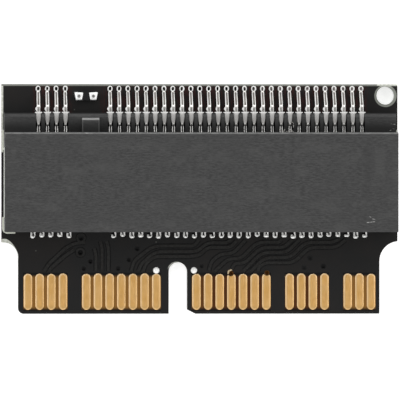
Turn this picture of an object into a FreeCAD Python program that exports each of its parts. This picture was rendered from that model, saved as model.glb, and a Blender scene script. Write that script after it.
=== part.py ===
import FreeCAD, Part
import math
import os
from types import SimpleNamespace

import Sketcher

# Adapter card: an M key module socket on a short board with a two-bank edge connector.
# Frame: origin at the centre of the board's rectangle, on its underside. +X runs along the
# connector rows, +Y points out of the socket's mouth, +Z points up through the socket.
# All sizes are millimetres.

DIMENSIONS = {
    # board outline
    "board_width": 22.1,
    "board_length": 12.8,
    "board_thickness": 0.8,
    "tongue_past_finger_left": 0.546,
    "tongue_past_finger_right": 0.47,
    "tongue_corner_radius": 0.3,
    "relief_radius_left": 0.82,
    "relief_radius_right": 1.1,
    "relief_centre_left": 3.25,
    "relief_centre_right": 3.46,
    "notch_width": 1.04,
    "notch_offset": 0.093,
    "notch_depth": 2.86,
    "notch_lead_across": 0.45,
    "notch_lead_along": 0.23,
    "corner_hole_radius": 0.5,
    "corner_hole_inset_across": 0.67,
    "corner_hole_inset_along": 0.63,
    # edge fingers
    "finger_pitch": 0.65,
    "finger_key_gap": 2.24,
    "finger_width": 0.475,
    "finger_length": 2.08,
    "finger_inset": 0.18,
    "finger_thickness": 0.04,
    "finger_window_margin": 0.03,
    # solder-filled vias
    "filled_via_past_finger": 0.16,
    "filled_via_shift": 0.14,
    "via_plug_radius": 0.18,
    "via_plug_top_radius": 0.1,
    "via_plug_height": 0.09,
    # socket housing
    "socket_setback": 6.4,
    "housing_height": 3.2,
    "housing_rear": 1.84,
    "housing_floor_front": 4.785,
    "housing_roof_front": 3.695,
    "floor_height": 1.35,
    "slot_past_contact": 0.75,
    "end_wall": 0.9,
    "slot_height": 1.0,
    "slot_end": 0.0,
    "slot_lead": 0.3,
    "floor_lead": 0.22,
    "housing_edge": 0.06,
    "rib_width": 0.95,
    "rib_front": 4.505,
    "rib_nose": 0.25,
    # contacts
    "contact_pitch": 0.5,
    "strip_width": 0.185,
    "strip_thickness": 0.12,
    "strip_bend_cut": 0.12,
    "channel_width": 0.3,
    "channel_clearance": 0.1,
    "lower_toe": 6.29,
    "lower_foot_end": 5.93,
    "lower_knee": 5.2,
    "lower_strip_height": 0.92,
    "lower_arm_root": 4.14,
    "lower_crown": 1.15,
    "lower_crown_height": 1.6,
    "lower_tip": 0.5,
    "lower_tip_height": 1.3,
    "lower_channel_depth": 0.75,
    "lower_channel_end": 0.25,
    "shoulder_width": 0.39,
    "shoulder_length": 0.09,
    "barb_width": 0.27,
    "lug_width": 0.1,
    "lug_start": 4.96,
    "lug_end": 5.14,
    "upper_toe": 2.13,
    "upper_leg": 1.66,
    "upper_strip_height": 2.6,
    "upper_arm_root": 0.3,
    "upper_crown": 1.7,
    "upper_crown_height": 2.08,
    "upper_tip": 2.35,
    "upper_tip_height": 2.42,
    "upper_channel_depth": 0.47,
    "upper_channel_end": 2.7,
    # solder round the contact feet
    "solder_width": 0.29,
    "solder_height": 0.1,
    "solder_draft": 20.0,
    "front_solder_past_toe": 0.07,
    "front_solder_length": 0.38,
    "rear_solder_past_toe": 0.08,
    "rear_solder_gap": 0.02,
    # hold-downs at the housing's ends
    "hold_down_thickness": 0.12,
    "hold_down_bend": 0.06,
    "hold_down_front": 2.85,
    "hold_down_rear": 1.01,
    "hold_down_height": 2.5,
    "hold_down_foot": 0.62,
    "hold_down_proud": 0.02,
    "hold_down_gap": 0.02,
    "land_height": 0.05,
    "land_outside": 0.11,
    "land_front": 3.85,
    "land_rear_left": 1.93,
    "land_rear_right": 1.75,
    "land_corner_radius": 0.3,
    # locating pegs
    "peg_inset": 1.9,
    "peg_along": 2.4,
    "peg_radius_left": 0.8,
    "peg_radius_right": 0.55,
    "peg_hole_clearance": 0.05,
    "peg_recess": 0.1,
    # chip resistor
    "resistor_length": 1.0,
    "resistor_width": 0.46,
    "resistor_height": 0.33,
    "resistor_offset": 0.21,
    "resistor_along": 5.72,
    "cap_length": 0.34,
    "cap_wall": 0.03,
    "resistor_solder_length": 0.15,
    "resistor_solder_height": 0.24,
}

# Fingers in each bank, as runs of (first position, fingers): one position is left empty in
# the short bank and two in the long bank.
SHORT_BANK_RUNS = ((0, 4), (5, 7))
LONG_BANK_RUNS = ((0, 7), (8, 4), (13, 3))
SHORT_BANK_PITCHES = 11
LONG_BANK_PITCHES = 15

# Contacts on each side of the key: (contacts beside the key, contacts in the main bank).
# The key takes the place of four contacts in each row.
LOWER_ROW = (4, 29)
UPPER_ROW = (5, 29)
KEY_POSITIONS = 4

LEFT = -1
RIGHT = 1


class Size:
    """A length in millimetres together with the spreadsheet expression that gives it."""

    def __init__(self, value, text):
        self.value = value
        self.text = text

    def __add__(self, other):
        other = as_size(other)
        return Size(self.value + other.value, f"({self.text} + {other.text})")

    def __sub__(self, other):
        other = as_size(other)
        return Size(self.value - other.value, f"({self.text} - {other.text})")

    def __rsub__(self, other):
        return as_size(other) - self

    def __mul__(self, other):
        other = as_size(other)
        return Size(self.value * other.value, f"({self.text} * {other.text})")

    def __truediv__(self, other):
        other = as_size(other)
        return Size(self.value / other.value, f"({self.text} / {other.text})")

    def __neg__(self):
        return self * -1

    __radd__ = __add__
    __rmul__ = __mul__


def as_size(thing):
    """Let plain numbers stand beside sizes in a formula."""
    if isinstance(thing, Size):
        return thing
    return Size(float(thing), f"({thing})")


def root(size):
    return Size(math.sqrt(size.value), f"sqrt({size.text})")


doc = FreeCAD.newDocument("adapter_card")


def fill_sheet():
    """Write the driving dimensions into the spreadsheet and return them as named sizes."""
    sheet = doc.addObject("Spreadsheet::Sheet", "dims")
    sizes = {}
    for row, (name, number) in enumerate(DIMENSIONS.items(), start=1):
        sheet.set(f"A{row}", name)
        sheet.set(f"B{row}", str(number))
        sheet.setAlias(f"B{row}", name)
        sizes[name] = Size(number, f"dims.{name}")
    doc.recompute()
    return SimpleNamespace(**sizes)


d = fill_sheet()

def row_end(row):
    """How far a row's outermost contacts stand from the middle."""
    return d.contact_pitch * (sum(row) + KEY_POSITIONS - 1) / 2


def row_starts(row):
    """The first contact of each bank, counted from -X: (beside the key, main bank)."""
    return -row_end(row), row_end(row) - (row[1] - 1) * d.contact_pitch


def key_centre():
    """The middle of the gap that both rows leave for the key."""
    middle = as_size(0)
    for row in (LOWER_ROW, UPPER_ROW):
        key_side, main = row_starts(row)
        middle = middle + (key_side + (row[0] - 1) * d.contact_pitch + main) / 4
    return middle


# Places that several pieces share.
board_half_width = d.board_width / 2
board_half_length = d.board_length / 2
board_top = d.board_thickness
floor_top = board_top + d.floor_height
slot_top = floor_top + d.slot_height
housing_top = board_top + d.housing_height
slot_half_width = row_end(UPPER_ROW) + d.slot_past_contact
housing_half_width = slot_half_width + d.end_wall
hold_down_outer = housing_half_width + d.hold_down_proud
peg_across = housing_half_width - d.peg_inset
rib_centre = key_centre()
resistor_centre = rib_centre - d.resistor_offset
socket_place = board_half_length - d.socket_setback
finger_top = d.finger_length + d.finger_inset - board_half_length
finger_bottom = d.finger_inset - board_half_length
finger_row_length = (SHORT_BANK_PITCHES + LONG_BANK_PITCHES) * d.finger_pitch + d.finger_key_gap
short_bank_start = -finger_row_length / 2
long_bank_start = finger_row_length / 2 - LONG_BANK_PITCHES * d.finger_pitch
short_bank_end = short_bank_start + SHORT_BANK_PITCHES * d.finger_pitch
notch_centre = (short_bank_end + long_bank_start) / 2 + d.notch_offset
foot_height = board_top + d.strip_thickness / 2


# ---------------------------------------------------------------- sketch and feature helpers

def new_body(name):
    body = doc.addObject("PartDesign::Body", name)
    body.Label = name
    body.AllowCompound = True
    return body


def socket_body(name, across=None):
    """Start a body whose own zero is at the socket's place on the board."""
    body = new_body(name)
    body.setExpression("Placement.Base.y", socket_place.text)
    if across is not None:
        body.setExpression("Placement.Base.x", across.text)
    return body


def origin_item(body, role):
    return [item for item in body.Origin.OriginFeatures if item.Role == role][0]


def new_sketch(body, name, role="XY_Plane", offset=None):
    """Start a sketch on one of the body's own planes, moved along the plane's normal."""
    sketch = body.newObject("Sketcher::SketchObject", name)
    sketch.AttachmentSupport = (origin_item(body, role), [""])
    sketch.MapMode = "FlatFace"
    if offset is not None:
        sketch.setExpression("AttachmentOffset.Base.z", offset.text)
    return sketch


def hold(sketch, kind, size, *places):
    """Add a dimension whose value follows the spreadsheet."""
    index = sketch.addConstraint(Sketcher.Constraint(kind, *places, size.value))
    sketch.setExpression(f"Constraints[{index}]", size.text)


def pin(sketch, geometry, end, x, y):
    hold(sketch, "DistanceX", x, -1, 1, geometry, end)
    hold(sketch, "DistanceY", y, -1, 1, geometry, end)


def arc_between(start, end, radius):
    """The shorter arc from start to end: anticlockwise for a positive radius."""
    chord = end - start
    half = chord.Length / 2
    rise = math.sqrt(max(radius * radius - half * half, 0.0))
    left = FreeCAD.Vector(-chord.y, chord.x, 0).normalize()
    side = 1 if radius > 0 else -1
    centre = (start + end) / 2 + left * rise * side
    first, last = (start, end) if radius > 0 else (end, start)
    low = math.atan2(first.y - centre.y, first.x - centre.x)
    high = math.atan2(last.y - centre.y, last.x - centre.x)
    circle = Part.Circle(centre, FreeCAD.Vector(0, 0, 1), abs(radius))
    return Part.ArcOfCircle(circle, low, high)


def outline(sketch, corners):
    """Draw a closed outline through the corners.

    A corner is (x, y), or (x, y, bend) where the edge to the next corner is an arc. The
    bend is its radius, negative for a clockwise arc.
    """
    points = [FreeCAD.Vector(corner[0].value, corner[1].value, 0) for corner in corners]
    edges = []
    for index, corner in enumerate(corners):
        start, end = points[index], points[(index + 1) % len(points)]
        if len(corner) == 2:
            edge = sketch.addGeometry(Part.LineSegment(start, end))
            edges.append((edge, 1, 2))
            continue
        bend = corner[2]
        edge = sketch.addGeometry(arc_between(start, end, bend.value))
        edges.append((edge, 1, 2) if bend.value > 0 else (edge, 2, 1))
        hold(sketch, "Radius", bend if bend.value > 0 else -bend, edge)
    for index, (edge, entry, _) in enumerate(edges):
        before, _, leaving = edges[index - 1]
        sketch.addConstraint(Sketcher.Constraint("Coincident", before, leaving, edge, entry))
        pin(sketch, edge, entry, corners[index][0], corners[index][1])


def rectangle(sketch, left, bottom, right, top):
    outline(sketch, [(left, bottom), (right, bottom), (right, top), (left, top)])


def circle(sketch, x, y, radius):
    centre = FreeCAD.Vector(x.value, y.value, 0)
    index = sketch.addGeometry(Part.Circle(centre, FreeCAD.Vector(0, 0, 1), radius.value))
    pin(sketch, index, 3, x, y)
    hold(sketch, "Radius", radius, index)


def finger_outline(sketch, x):
    """Draw one finger. Each round end is cut into four flats."""
    radius = d.finger_width / 2
    diagonal = radius * root(as_size(0.5))
    low = finger_bottom + radius
    high = finger_top - radius
    outline(sketch, [
        (x + radius, low),
        (x + radius, high),
        (x + diagonal, high + diagonal),
        (x, finger_top),
        (x - diagonal, high + diagonal),
        (x - radius, high),
        (x - radius, low),
        (x - diagonal, low - diagonal),
        (x, finger_bottom),
        (x + diagonal, low - diagonal),
    ])


def bent_path(sketch, corners):
    """Draw an open path of straight runs.

    A corner is (x, y), or (x, y, cut) where a short flat takes the corner off at that
    distance from it along both runs.
    """
    points = [FreeCAD.Vector(corner[0].value, corner[1].value, 0) for corner in corners]
    stops = []
    for index, corner in enumerate(corners):
        here = points[index]
        if len(corner) == 2:
            stops.append((here, here))
            continue
        back = (points[index - 1] - here).normalize()
        ahead = (points[index + 1] - here).normalize()
        stops.append((here + back * corner[2].value, here + ahead * corner[2].value))
    runs = [
        sketch.addGeometry(Part.LineSegment(stops[index][1], stops[index + 1][0]))
        for index in range(len(corners) - 1)
    ]
    pin(sketch, runs[0], 1, corners[0][0], corners[0][1])
    pin(sketch, runs[-1], 2, corners[-1][0], corners[-1][1])
    for index in range(1, len(corners) - 1):
        before, after = runs[index - 1], runs[index]
        corner = corners[index]
        if len(corner) == 2:
            sketch.addConstraint(Sketcher.Constraint("Coincident", before, 2, after, 1))
            pin(sketch, after, 1, corner[0], corner[1])
            continue
        flat = sketch.addGeometry(Part.LineSegment(*stops[index]))
        tip = sketch.addGeometry(Part.Point(points[index]), True)
        sketch.addConstraint(Sketcher.Constraint("Coincident", before, 2, flat, 1))
        sketch.addConstraint(Sketcher.Constraint("Coincident", flat, 2, after, 1))
        sketch.addConstraint(Sketcher.Constraint("PointOnObject", tip, 1, before))
        sketch.addConstraint(Sketcher.Constraint("PointOnObject", tip, 1, after))
        pin(sketch, tip, 1, corner[0], corner[1])
        hold(sketch, "Distance", corner[2], tip, 1, before, 2)
        hold(sketch, "Distance", corner[2], tip, 1, after, 1)


def pad(body, name, sketch, length, reversed_side=False, both_sides=False):
    feature = body.newObject("PartDesign::Pad", name)
    feature.Profile = sketch
    feature.Reversed = reversed_side
    feature.Midplane = both_sides
    feature.setExpression("Length", length.text)
    return feature


def pocket(body, name, sketch, length=None, reversed_side=False, both_sides=False):
    """Cut a sketch into the body, right through it where no length is given."""
    feature = body.newObject("PartDesign::Pocket", name)
    feature.Profile = sketch
    feature.Reversed = reversed_side
    feature.Midplane = both_sides
    if length is None:
        feature.Type = "ThroughAll"
    else:
        feature.setExpression("Length", length.text)
    return feature


def repeat(body, name, feature, pitch, count, whole=False):
    """Repeat one feature, or the whole body so far, along +X."""
    if whole:
        doc.recompute()
    pattern = body.newObject("PartDesign::LinearPattern", name)
    if whole:
        pattern.TransformMode = "Whole shape"
    else:
        pattern.Originals = [feature]
    pattern.Direction = (origin_item(body, "X_Axis"), [""])
    pattern.setExpression("Length", (pitch * (count - 1)).text)
    pattern.Occurrences = count
    body.Tip = pattern
    return pattern


# ---------------------------------------------------------------- circuit board

def tongue_step(body, side, tongue, radius, centre, corner=None):
    """Cut the board away beside the tongue, with a concave relief at the step.

    A corner radius also rounds the tongue's corner.
    """
    label = "left" if side == LEFT else "right"
    outer = board_half_width + radius
    below = -board_half_length - radius
    foot = [(side * tongue, below)]
    if corner is not None:
        foot = [
            (side * tongue, corner - board_half_length, -side * corner),
            (side * (tongue - corner), -board_half_length),
            (side * (tongue - corner), below),
        ]
    sketch = new_sketch(body, f"tongue_step_{label}")
    outline(sketch, [
        (side * outer, below),
        (side * outer, radius - centre),
        (side * (tongue + radius), radius - centre, side * radius),
        (side * tongue, -centre),
        *foot,
    ])
    pocket(body, f"tongue_relief_{label}", sketch, reversed_side=True)


def finger_windows(body, label, base, reversed_side):
    """Cut the shallow mask windows that the runs of fingers lie in."""
    margin = d.finger_width / 2 + d.finger_window_margin
    sketch = new_sketch(body, f"{label}_window_sketch", "XY_Plane", base)
    for start, runs in ((short_bank_start, SHORT_BANK_RUNS), (long_bank_start, LONG_BANK_RUNS)):
        for first, count in runs:
            left = start + first * d.finger_pitch
            right = left + (count - 1) * d.finger_pitch
            rectangle(sketch, left - margin, finger_bottom - d.finger_window_margin,
                      right + margin, finger_top + d.finger_window_margin)
    pocket(body, f"{label}_windows", sketch, d.finger_thickness, reversed_side)


def filled_via_places():
    y = finger_top + d.filled_via_past_finger
    return [(short_bank_end, y), (long_bank_start - d.filled_via_shift, y)]


def circuit_board():
    body = new_body("circuit_board")
    sketch = new_sketch(body, "board_outline")
    notch_left = notch_centre - d.notch_width / 2
    notch_right = notch_centre + d.notch_width / 2
    notch_radius = d.notch_width / 2
    notch_top = d.notch_depth - board_half_length
    outline(sketch, [
        (-board_half_width, board_half_length),
        (-board_half_width, -board_half_length),
        (notch_left, -board_half_length),
        (notch_left, notch_top - notch_radius, -notch_radius),
        (notch_centre, notch_top, -notch_radius),
        (notch_right, notch_top - notch_radius),
        (notch_right, d.notch_lead_along - board_half_length),
        (notch_right + d.notch_lead_across, -board_half_length),
        (board_half_width, -board_half_length),
        (board_half_width, board_half_length),
    ])
    pad(body, "board_blank", sketch, d.board_thickness)

    tongue_step(body, LEFT, d.tongue_past_finger_left - short_bank_start,
                d.relief_radius_left, d.relief_centre_left, d.tongue_corner_radius)
    tongue_step(body, RIGHT, d.tongue_past_finger_right - short_bank_start,
                d.relief_radius_right, d.relief_centre_right)

    holes = new_sketch(body, "hole_sketch")
    circle(holes, board_half_width - d.corner_hole_inset_across,
           board_half_length - d.corner_hole_inset_along, d.corner_hole_radius)
    circle(holes, -peg_across, socket_place + d.peg_along,
           d.peg_radius_left + d.peg_hole_clearance)
    circle(holes, peg_across, socket_place + d.peg_along,
           d.peg_radius_right + d.peg_hole_clearance)
    pocket(body, "holes", holes, reversed_side=True)

    finger_windows(body, "front", board_top, reversed_side=False)
    finger_windows(body, "back", None, reversed_side=True)
    return body


def finger_bank(name, start, runs, base):
    """One bank of edge fingers, level with the mask round their windows."""
    body = new_body(name)
    for first, count in runs:
        sketch = new_sketch(body, f"{name}_run_{first}", "XY_Plane", base)
        finger_outline(sketch, start + first * d.finger_pitch)
        finger = pad(body, f"{name}_finger_{first}", sketch, d.finger_thickness)
        repeat(body, f"{name}_fingers_{first}", finger, d.finger_pitch, count)
    return body


def via_solder_plugs():
    """Solder that stands proud of the two filled vias beside the notch."""
    body = new_body("via_solder_plugs")
    first, second = filled_via_places()
    top = board_top + d.via_plug_height
    sketch = new_sketch(body, "plug_section", "XZ_Plane", -first[1])
    outline(sketch, [
        (first[0], board_top),
        (first[0] + d.via_plug_radius, board_top),
        (first[0] + d.via_plug_top_radius, top),
        (first[0], top),
    ])
    plug = body.newObject("PartDesign::Revolution", "plug")
    plug.Profile = sketch
    plug.ReferenceAxis = (sketch, ["Edge4"])
    plug.Angle = 360
    repeat(body, "plugs", plug, second[0] - first[0], 2)
    return body


# ---------------------------------------------------------------- socket housing

def cut_channels(body, label, row, corners):
    """Cut one channel per contact, from a side profile that is as wide as the channel."""
    for start, count, bank in zip(row_starts(row), row, ("key_side", "main")):
        sketch = new_sketch(body, f"{label}_{bank}_profile", "YZ_Plane", start)
        outline(sketch, corners)
        channel = pocket(body, f"{label}_{bank}_channel", sketch, d.channel_width,
                         both_sides=True)
        repeat(body, f"{label}_{bank}_channels", channel, d.contact_pitch, count)


def hold_down_recess(body, side):
    """Cut the end wall and the underside back round one hold-down and its foot."""
    label = "left" if side == LEFT else "right"
    outer = side * housing_half_width
    wall = side * (hold_down_outer - d.hold_down_thickness - d.hold_down_gap)
    foot = side * (housing_half_width - d.hold_down_foot - d.hold_down_gap)
    foot_top = board_top + d.land_height + d.hold_down_thickness + d.hold_down_gap
    sketch = new_sketch(body, f"wall_recess_{label}", "XY_Plane", board_top)
    rectangle(sketch, outer, -d.hold_down_rear - d.hold_down_gap,
              wall, d.hold_down_front + d.hold_down_gap)
    pocket(body, f"wall_pocket_{label}", sketch, d.hold_down_height + d.hold_down_gap,
           reversed_side=True)
    sketch = new_sketch(body, f"foot_recess_{label}", "XY_Plane", board_top)
    rectangle(sketch, outer, -d.housing_rear, foot, d.hold_down_front + d.hold_down_gap)
    pocket(body, f"foot_pocket_{label}", sketch, foot_top - board_top, reversed_side=True)


def socket_housing():
    body = socket_body("socket_housing")
    side = new_sketch(body, "side_profile", "YZ_Plane")
    outline(side, [
        (-d.housing_rear, board_top),
        (d.housing_floor_front, board_top),
        (d.housing_floor_front, floor_top - d.floor_lead),
        (d.housing_floor_front - d.floor_lead, floor_top),
        (d.housing_roof_front, floor_top),
        (d.housing_roof_front, housing_top - d.housing_edge),
        (d.housing_roof_front - d.housing_edge, housing_top),
        (d.housing_edge - d.housing_rear, housing_top),
        (-d.housing_rear, housing_top - d.housing_edge),
    ])
    pad(body, "housing_block", side, 2 * housing_half_width, both_sides=True)

    mouth = new_sketch(body, "mouth_profile", "YZ_Plane")
    outline(mouth, [
        (d.slot_end, floor_top),
        (d.housing_roof_front, floor_top),
        (d.housing_roof_front, slot_top + d.slot_lead),
        (d.housing_roof_front - d.slot_lead, slot_top),
        (d.slot_end, slot_top),
    ])
    pocket(body, "mouth", mouth, 2 * slot_half_width, both_sides=True)

    rib = new_sketch(body, "rib_profile", "YZ_Plane", rib_centre)
    outline(rib, [
        (d.slot_end, floor_top),
        (d.rib_front, floor_top),
        (d.rib_front, slot_top - d.rib_nose, d.rib_nose),
        (d.rib_front - d.rib_nose, slot_top),
        (d.housing_roof_front - d.slot_lead, slot_top),
        (d.slot_end, slot_top),
    ])
    pad(body, "key_rib", rib, d.rib_width, both_sides=True)

    cut_channels(body, "lower", LOWER_ROW, [
        (d.lower_channel_end, floor_top - d.lower_channel_depth),
        (d.housing_floor_front, floor_top - d.lower_channel_depth),
        (d.housing_floor_front, floor_top),
        (d.lower_channel_end, floor_top),
    ])
    rear_channel = d.upper_leg - d.strip_thickness / 2 - d.channel_clearance
    cut_channels(body, "upper", UPPER_ROW, [
        (-d.housing_rear, board_top),
        (-rear_channel, board_top),
        (-rear_channel, slot_top),
        (d.upper_channel_end, slot_top),
        (d.upper_channel_end, slot_top + d.upper_channel_depth),
        (-d.housing_rear, slot_top + d.upper_channel_depth),
    ])

    for side in (LEFT, RIGHT):
        hold_down_recess(body, side)

    pegs = new_sketch(body, "peg_sketch", "XY_Plane", board_top)
    circle(pegs, -peg_across, d.peg_along, d.peg_radius_left)
    circle(pegs, peg_across, d.peg_along, d.peg_radius_right)
    pad(body, "pegs", pegs, d.board_thickness - d.peg_recess, reversed_side=True)
    return body


# ---------------------------------------------------------------- contacts

def contact_strip(body, name, corners):
    """Sweep the strip's rectangular section along its bent centre line."""
    path = new_sketch(body, f"{name}_path", "YZ_Plane")
    bent_path(path, corners)
    toe = corners[0]
    section = new_sketch(body, f"{name}_section", "XZ_Plane", -toe[0])
    rectangle(section, -d.strip_width / 2, toe[1] - d.strip_thickness / 2,
              d.strip_width / 2, toe[1] + d.strip_thickness / 2)
    strip = body.newObject("PartDesign::AdditivePipe", f"{name}_strip")
    strip.Profile = section
    strip.Spine = (path, [])
    strip.Transition = "Right corner"
    return strip


def lower_head(body, name):
    """The flat head of a lower contact: stop shoulders, tapering barb and side lug."""
    height = board_top + d.lower_strip_height + d.strip_thickness / 2
    shoulder = d.shoulder_width / 2
    barb = d.barb_width / 2
    strip = d.strip_width / 2
    front = d.housing_floor_front + d.shoulder_length
    sketch = new_sketch(body, f"{name}_head_sketch", "XY_Plane", height)
    outline(sketch, [
        (-shoulder, front),
        (-shoulder, d.housing_floor_front),
        (-barb, d.housing_floor_front),
        (-strip, d.lower_arm_root),
        (strip, d.lower_arm_root),
        (barb, d.housing_floor_front),
        (shoulder, d.housing_floor_front),
        (shoulder, front),
    ])
    pad(body, f"{name}_head", sketch, d.strip_thickness, reversed_side=True)
    sketch = new_sketch(body, f"{name}_lug_sketch", "XY_Plane", height)
    rectangle(sketch, -strip - d.lug_width, d.lug_start, as_size(0), d.lug_end)
    pad(body, f"{name}_lug", sketch, d.strip_thickness, reversed_side=True)


def lower_contacts(name, start, count):
    body = socket_body(name, start)
    strip_height = board_top + d.lower_strip_height
    contact_strip(body, name, [
        (d.lower_toe, foot_height),
        (d.lower_foot_end, foot_height, d.strip_bend_cut),
        (d.lower_knee, strip_height, d.strip_bend_cut),
        (d.lower_arm_root, strip_height),
        (d.lower_crown, board_top + d.lower_crown_height, d.strip_bend_cut),
        (d.lower_tip, board_top + d.lower_tip_height),
    ])
    lower_head(body, name)
    repeat(body, f"{name}_row", None, d.contact_pitch, count, whole=True)
    return body


def upper_contacts(name, start, count):
    body = socket_body(name, start)
    strip_height = board_top + d.upper_strip_height
    contact_strip(body, name, [
        (-d.upper_toe, foot_height),
        (-d.upper_leg, foot_height, d.strip_bend_cut),
        (-d.upper_leg, strip_height, d.strip_bend_cut),
        (d.upper_arm_root, strip_height),
        (d.upper_crown, board_top + d.upper_crown_height, d.strip_bend_cut),
        (d.upper_tip, board_top + d.upper_tip_height),
    ])
    repeat(body, f"{name}_row", None, d.contact_pitch, count, whole=True)
    return body


def foot_solder(name, start, count, low, high, foot_low, foot_high):
    """Drafted solder mounds, each open where the contact's foot lies in it."""
    body = socket_body(name, start)
    sketch = new_sketch(body, f"{name}_outline", "XY_Plane", board_top)
    rectangle(sketch, -d.solder_width / 2, low, d.solder_width / 2, high)
    mound = pad(body, f"{name}_mound", sketch, d.solder_height)
    mound.setExpression("TaperAngle", (-d.solder_draft).text)
    sketch = new_sketch(body, f"{name}_foot", "XY_Plane", board_top)
    rectangle(sketch, -d.strip_width / 2, foot_low, d.strip_width / 2, foot_high)
    pocket(body, f"{name}_foot_slot", sketch, reversed_side=True)
    repeat(body, f"{name}_row", None, d.contact_pitch, count, whole=True)
    return body


def front_solder(name, start, count):
    high = d.lower_toe + d.front_solder_past_toe
    low = high - d.front_solder_length
    return foot_solder(name, start, count, low, high, low, d.lower_toe)


def rear_solder(name, start, count):
    low = -d.upper_toe - d.rear_solder_past_toe
    high = -d.housing_rear - d.rear_solder_gap
    return foot_solder(name, start, count, low, high, -d.upper_toe, high)


# ---------------------------------------------------------------- hold-downs

def hold_down(name, side):
    """A folded plate: it stands in the housing's end wall on a foot turned in under it."""
    body = socket_body(name)
    outer = hold_down_outer
    inner = outer - d.hold_down_thickness
    foot = housing_half_width - d.hold_down_foot
    low = board_top + d.land_height
    foot_top = low + d.hold_down_thickness
    top = board_top + d.hold_down_height
    inside = d.hold_down_bend
    outside = d.hold_down_bend + d.hold_down_thickness
    sketch = new_sketch(body, f"{name}_section", "XZ_Plane", -d.hold_down_front)
    outline(sketch, [
        (side * foot, low),
        (side * (outer - outside), low, side * outside),
        (side * outer, low + outside),
        (side * outer, top),
        (side * inner, top),
        (side * inner, foot_top + inside, -side * inside),
        (side * (inner - inside), foot_top),
        (side * foot, foot_top),
    ])
    pad(body, f"{name}_plate", sketch, d.hold_down_front + d.hold_down_rear)
    return body


def hold_down_solder(name, side):
    """The solder on one hold-down's land. It shows past both ends of the plate."""
    body = socket_body(name)
    inner = housing_half_width - d.hold_down_foot
    beside = housing_half_width + d.hold_down_gap
    outer = housing_half_width + d.land_outside
    rear = -d.land_rear_left if side == LEFT else -d.land_rear_right
    corner = d.land_corner_radius
    sketch = new_sketch(body, f"{name}_outline", "XY_Plane", board_top)
    outline(sketch, [
        (side * inner, d.hold_down_front),
        (side * inner, rear),
        (side * (outer - corner), rear, side * corner),
        (side * outer, rear + corner),
        (side * outer, -d.hold_down_rear),
        (side * hold_down_outer, -d.hold_down_rear),
        (side * hold_down_outer, d.hold_down_front - d.hold_down_thickness),
        (side * outer, d.hold_down_front - d.hold_down_thickness),
        (side * outer, d.land_front),
        (side * beside, d.land_front),
        (side * beside, d.hold_down_front),
    ])
    pad(body, f"{name}_bed", sketch, d.land_height)
    return body


# ---------------------------------------------------------------- chip resistor

def resistor_body():
    body = socket_body("resistor_body")
    inset = d.cap_wall
    sketch = new_sketch(body, "resistor_outline", "XY_Plane", board_top + inset)
    half_length = d.resistor_length / 2 - inset
    rectangle(sketch, resistor_centre - half_length, d.resistor_along - d.resistor_width / 2,
              resistor_centre + half_length, d.resistor_along + d.resistor_width / 2)
    pad(body, "resistor_chip", sketch, d.resistor_height - 2 * inset)
    return body


def resistor_caps():
    """C-shaped end caps that wrap the chip's end, top and underside."""
    body = socket_body("resistor_caps")
    wall = d.cap_wall
    top = board_top + d.resistor_height
    left = resistor_centre - d.resistor_length / 2
    rear = d.resistor_along + d.resistor_width / 2
    sketch = new_sketch(body, "cap_section", "XZ_Plane", -rear)
    outline(sketch, [
        (left, board_top),
        (left + d.cap_length, board_top),
        (left + d.cap_length, board_top + wall),
        (left + wall, board_top + wall),
        (left + wall, top - wall),
        (left + d.cap_length, top - wall),
        (left + d.cap_length, top),
        (left, top),
    ])
    pad(body, "left_cap", sketch, d.resistor_width)
    right = resistor_centre + d.resistor_length / 2
    sketch = new_sketch(body, "right_cap_section", "XZ_Plane", -rear)
    outline(sketch, [
        (right, board_top),
        (right, top),
        (right - d.cap_length, top),
        (right - d.cap_length, top - wall),
        (right - wall, top - wall),
        (right - wall, board_top + wall),
        (right - d.cap_length, board_top + wall),
        (right - d.cap_length, board_top),
    ])
    pad(body, "right_cap", sketch, d.resistor_width)
    return body


def resistor_solder():
    """A concave fillet of solder at each end of the chip."""
    body = socket_body("resistor_solder")
    rear = d.resistor_along + d.resistor_width / 2
    bend = d.resistor_solder_height * 1.5
    for side in (LEFT, RIGHT):
        end = resistor_centre + side * d.resistor_length / 2
        reach = end + side * d.resistor_solder_length
        sketch = new_sketch(body, f"solder_section_{side + 1}", "XZ_Plane", -rear)
        outline(sketch, [
            (end, board_top),
            (end, board_top + d.resistor_solder_height, side * bend),
            (reach, board_top),
        ])
        pad(body, f"solder_fillet_{side + 1}", sketch, d.resistor_width)
    return body


# ---------------------------------------------------------------- build, check and export

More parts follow.
